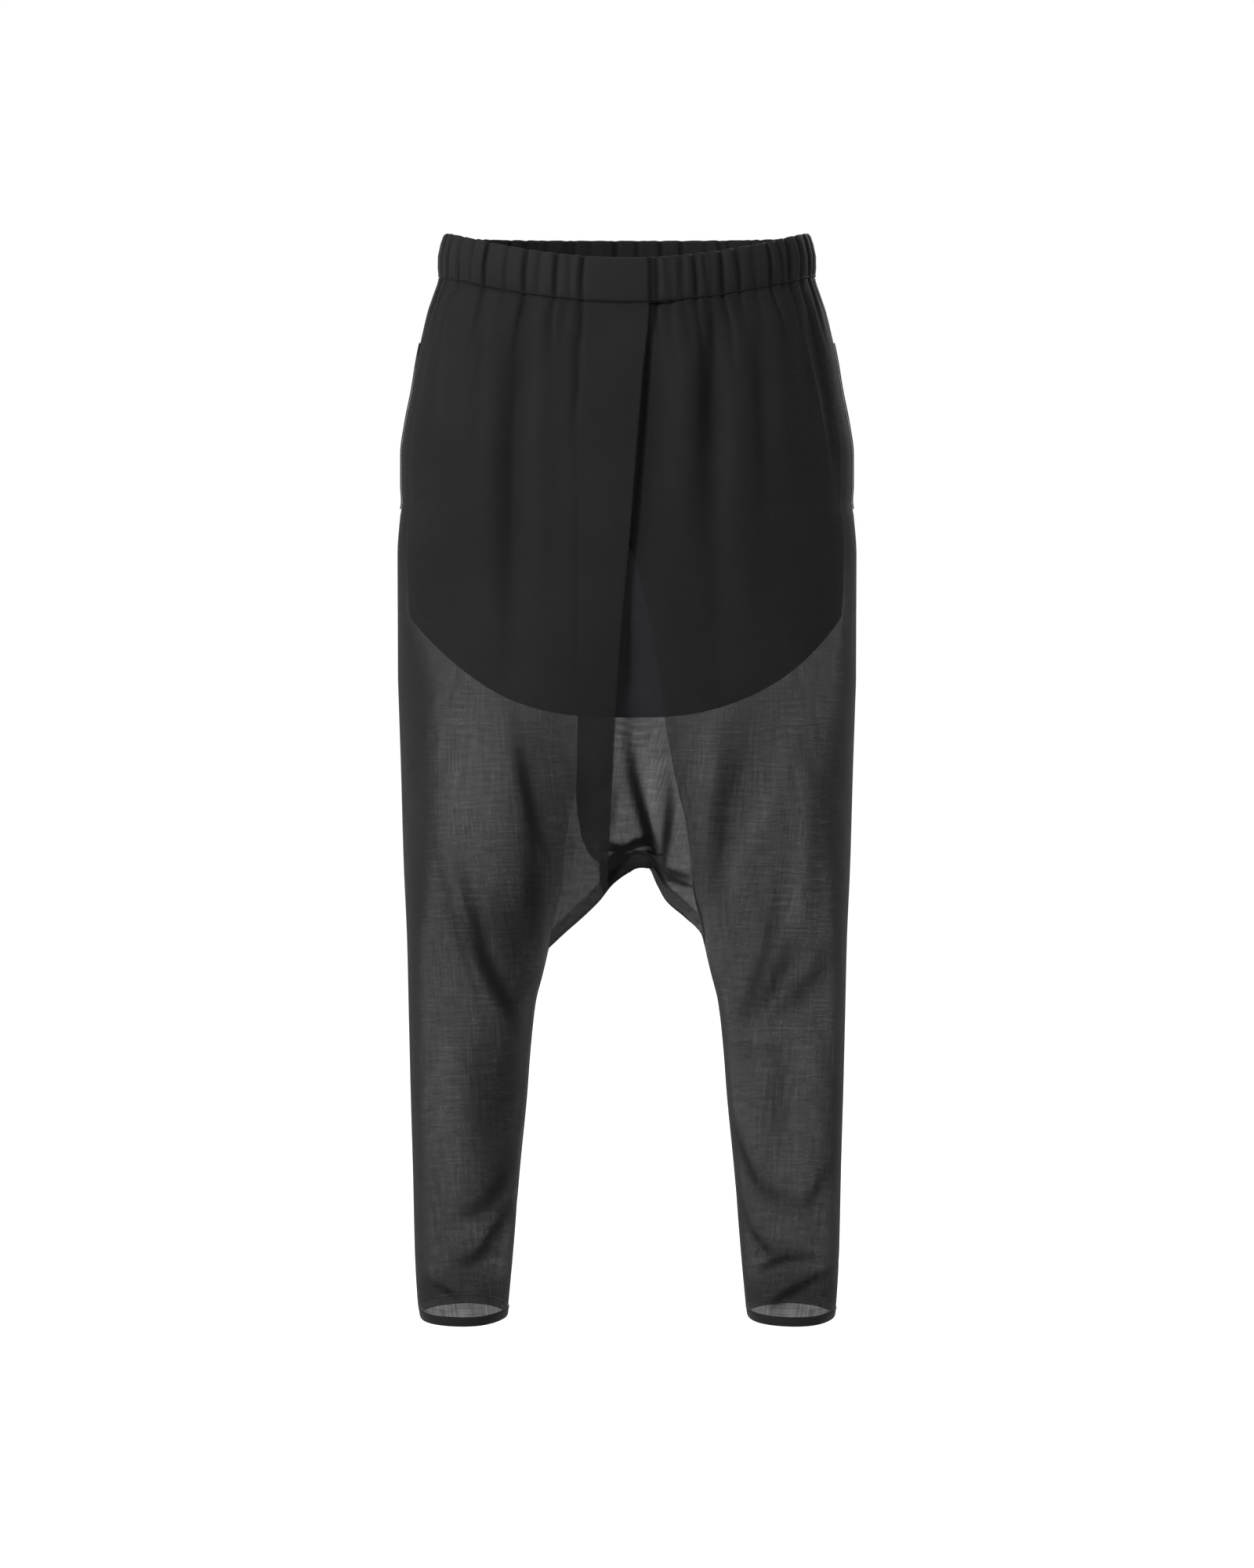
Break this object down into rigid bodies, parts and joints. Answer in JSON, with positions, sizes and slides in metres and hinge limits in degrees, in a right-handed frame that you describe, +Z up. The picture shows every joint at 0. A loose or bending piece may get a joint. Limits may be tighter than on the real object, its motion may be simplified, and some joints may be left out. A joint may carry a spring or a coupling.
{
  "type": "harem pants",
  "caption": "Sheer low-crotch trousers with a gathered elastic waistband, a wrapped front, a wedge gusset, narrow legs and a short curved lining, filled out as when worn.",
  "frame": {"origin": "middle of the waistband's ring, halfway up it at the side seams, where the waist is held", "axes": "+Z up along the legs' length, +Y to the back of the garment, +X to the garment's own left"},
  "size_m": [0.3854, 0.2552, 0.9157],
  "materials": {
    "panel_chiffon": "sheer black chiffon, plain weave, matt with a faint sheen",
    "gusset_chiffon": "the same chiffon, a single more open layer",
    "lining_viscose": "opaque black viscose lining, matt",
    "waistband_chiffon": "doubled black chiffon gathered over elastic",
    "hem_chiffon": "doubled black chiffon, turned and stitched"
  },
  "bodies": {
    "root": {"waistband": "waistband_chiffon", "front_right": "panel_chiffon", "front_left": "panel_chiffon", "back_right": "panel_chiffon", "back_left": "panel_chiffon", "pleat_return": "panel_chiffon", "gusset_front": "gusset_chiffon", "gusset_back": "gusset_chiffon", "lining_front": "lining_viscose", "lining_back": "lining_viscose", "lining_hem_front": "lining_viscose", "lining_hem_back": "lining_viscose", "hem_right": "hem_chiffon", "hem_left": "hem_chiffon", "pocket_lip_right": "hem_chiffon", "pocket_lip_left": "hem_chiffon"}
  },
  "joints": []
}
